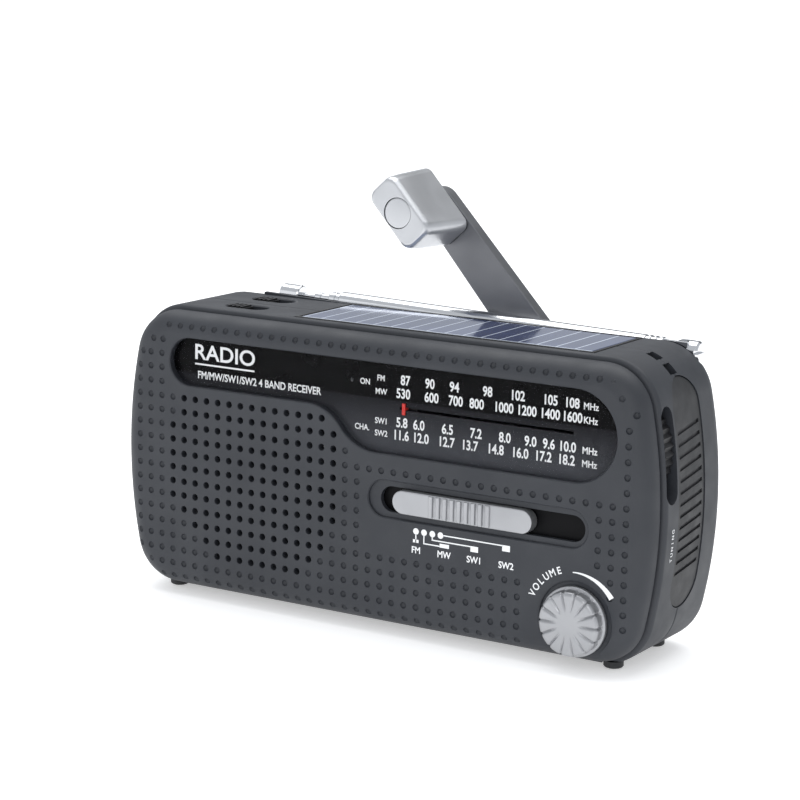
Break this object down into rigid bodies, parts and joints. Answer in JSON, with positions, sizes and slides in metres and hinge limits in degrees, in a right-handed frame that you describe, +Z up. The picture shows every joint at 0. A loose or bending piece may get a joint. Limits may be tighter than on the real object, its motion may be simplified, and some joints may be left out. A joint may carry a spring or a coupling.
{
  "type": "emergency radio",
  "caption": "Portable emergency radio with a folding hand crank, solar panel, telescopic antenna, tuning dial, band slider and volume knob.",
  "frame": {"origin": "centre of the whole bounding box at the feet's resting plane", "axes": "+X to the radio's right end, +Y to its back, +Z up"},
  "size_m": [0.165, 0.0518, 0.1185],
  "materials": {
    "charcoal_plastic": "fine matte texture",
    "black_plastic": "semi-matte",
    "silver_paint": "silver paint, satin",
    "chrome": "bright",
    "steel": "satin",
    "copper_wire": "enamelled winding",
    "clear_plastic": "clear, glossy",
    "red_plastic": "satin",
    "rubber": "matte",
    "circuit_board": "solder mask",
    "white_nylon": "natural",
    "cone_paper": "matte",
    "solar_cell": "glossy",
    "battery_sleeve": "shrink sleeve",
    "magnet": "black ferrite"
  },
  "bodies": {
    "cabinet": {"front_cover": "charcoal_plastic", "rear_cover": "charcoal_plastic", "battery_pack": "battery_sleeve", "dial_lens": "clear_plastic", "dial_plate": "black_plastic", "pointer_rail": "steel", "power_led": "clear_plastic", "slider_tray": "black_plastic", "band_switch": "circuit_board", "volume_control": "black_plastic", "tuning_capacitor": "circuit_board", "switch_board": "circuit_board", "speaker_frame": "steel", "speaker_magnet": "magnet", "speaker_cone": "cone_paper", "main_board": "circuit_board", "ferrite_rod": "magnet", "antenna_coil": "copper_wire", "torch_lens": "clear_plastic", "torch_reflector": "chrome", "torch_lamp": "white_nylon", "solar_frame": "black_plastic", "solar_cell": "solar_cell", "earphone_jack": "black_plastic", "usb_socket": "steel", "dc_jack": "black_plastic", "generator_housing": "steel", "generator_coil": "copper_wire", "gear_plate": "steel", "antenna_bracket": "chrome", "antenna_pin": "chrome", "foot_front_left": "rubber", "foot_front_right": "rubber", "foot_rear_left": "rubber", "foot_rear_right": "rubber", "case_screw_1": "steel", "case_screw_2": "steel", "case_screw_3": "steel", "case_screw_4": "steel"},
    "battery_door": {"battery_door": "charcoal_plastic"},
    "dial_pointer": {"dial_pointer": "red_plastic"},
    "band_slider": {"band_slider": "silver_paint"},
    "volume_knob": {"volume_knob": "silver_paint"},
    "tuning_wheel": {"tuning_wheel": "black_plastic"},
    "power_switch_knob": {"power_switch_knob": "black_plastic"},
    "light_switch_knob": {"light_switch_knob": "black_plastic"},
    "rubber_flap": {"rubber_flap": "rubber"},
    "crank_rotor": {"crank_rotor": "black_plastic", "drive_gear": "white_nylon", "crank_hinge_pin": "steel"},
    "crank_arm": {"crank_arm": "silver_paint"},
    "crank_knob": {"crank_knob": "silver_paint", "crank_knob_plug": "silver_paint"},
    "compound_gear": {"compound_gear": "white_nylon"},
    "generator_rotor": {"generator_rotor": "magnet"},
    "antenna_tube_1": {"antenna_tube_1": "chrome"},
    "antenna_tube_2": {"antenna_tube_2": "chrome"},
    "antenna_tube_3": {"antenna_tube_3": "chrome"},
    "antenna_tip": {"antenna_tip": "chrome"}
  },
  "joints": [
    {"name": "tuning_turn", "type": "hinge", "parent": "cabinet", "child": "tuning_wheel", "pos_m": [0.0652, -0.0109, 0.0562], "axis": [0, 1, 0], "range_deg": [0, 275]},
    {"name": "dial_slide", "type": "slide", "parent": "cabinet", "child": "dial_pointer", "axis": [1, 0, 0], "range_m": [0, 0.048]},
    {"name": "volume_turn", "type": "hinge", "parent": "cabinet", "child": "volume_knob", "pos_m": [0.0615, -0.0219, 0.013], "axis": [0, 1, 0], "range_deg": [0, 280]},
    {"name": "band_slide", "type": "slide", "parent": "cabinet", "child": "band_slider", "axis": [1, 0, 0], "range_m": [0, 0.0074]},
    {"name": "power_slide", "type": "slide", "parent": "cabinet", "child": "power_switch_knob", "axis": [1, 0, 0], "range_m": [0, 0.0045]},
    {"name": "light_slide", "type": "slide", "parent": "cabinet", "child": "light_switch_knob", "axis": [1, 0, 0], "range_m": [0, 0.0045]},
    {"name": "flap_hinge", "type": "hinge", "parent": "cabinet", "child": "rubber_flap", "pos_m": [0.07705, -0.0003, 0.074], "axis": [0, -1, 0], "range_deg": [0, 110]},
    {"name": "door_hinge", "type": "hinge", "parent": "cabinet", "child": "battery_door", "pos_m": [-0.044, 0.0201, 0.0074], "axis": [-1, 0, 0], "range_deg": [0, 95]},
    {"name": "crank_turn", "type": "hinge", "parent": "cabinet", "child": "crank_rotor", "pos_m": [0.0545, 0.0191, 0.0403], "axis": [0, 1, 0], "range_deg": [-8, 268]},
    {"name": "crank_fold", "type": "hinge", "parent": "crank_rotor", "child": "crank_arm", "pos_m": [0.0545, 0.0234, 0.0403], "axis": [-0.7431, 0, -0.6691], "range_deg": [0, 180]},
    {"name": "knob_spin", "type": "hinge", "parent": "crank_arm", "child": "crank_knob", "pos_m": [-0.00673, 0.0091, 0.1083], "axis": [0, 1, 0], "continuous": true},
    {"name": "compound_turn", "type": "hinge", "parent": "cabinet", "child": "compound_gear", "pos_m": [0.03724, 0.0111, 0.03188], "axis": [0, 1, 0], "range_deg": [-1020, 32]},
    {"name": "generator_turn", "type": "hinge", "parent": "cabinet", "child": "generator_rotor", "pos_m": [0.02313, 0.0021, 0.0299], "axis": [0, 1, 0], "range_deg": [-116, 3822]},
    {"name": "antenna_lift", "type": "hinge", "parent": "cabinet", "child": "antenna_tube_1", "pos_m": [0.069, 0.018, 0.0776], "axis": [0, 1, 0], "range_deg": [0, 8]},
    {"name": "antenna_slide_1", "type": "slide", "parent": "antenna_tube_1", "child": "antenna_tube_2", "axis": [-0.9997, 0, 0.0227], "range_m": [0, 0.08]},
    {"name": "antenna_slide_2", "type": "slide", "parent": "antenna_tube_2", "child": "antenna_tube_3", "axis": [-0.9997, 0, 0.0227], "range_m": [0, 0.08]},
    {"name": "antenna_slide_3", "type": "slide", "parent": "antenna_tube_3", "child": "antenna_tip", "axis": [-0.9997, 0, 0.0227], "range_m": [0, 0.08]}
  ],
  "couplings": [
    {"joint": "dial_slide", "follows": "tuning_turn", "m_per_rad": 0.01},
    {"joint": "compound_turn", "follows": "crank_turn", "ratio": -3.8},
    {"joint": "generator_turn", "follows": "crank_turn", "ratio": 14.25}
  ]
}
